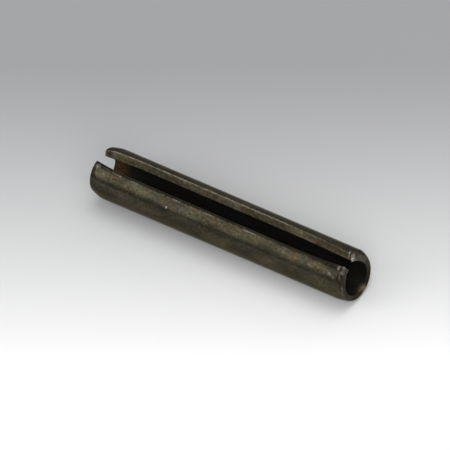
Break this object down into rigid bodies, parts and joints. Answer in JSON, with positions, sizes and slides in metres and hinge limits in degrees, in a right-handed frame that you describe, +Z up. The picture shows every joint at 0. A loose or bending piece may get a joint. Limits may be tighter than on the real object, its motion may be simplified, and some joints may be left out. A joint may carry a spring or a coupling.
{
  "type": "slotted spring pin",
  "caption": "Slotted spring pin rolled from one strip of dark steel, open along its whole length, with a drawn-in nose at each end for driving into a drilled hole.",
  "frame": {"origin": "middle of the underside of the pin as it lies on its back, where it touches the floor", "axes": "+X along the pin, +Z up through the middle of the slot, +Y across"},
  "size_m": [0.05, 0.0084, 0.0081],
  "materials": {
    "dark_spring_steel": "dark oiled oxide from hardening, mottled brown and olive, worn bright at the slot's edges and the rims"
  },
  "bodies": {
    "root": {"spring_pin": "dark_spring_steel"}
  },
  "joints": []
}
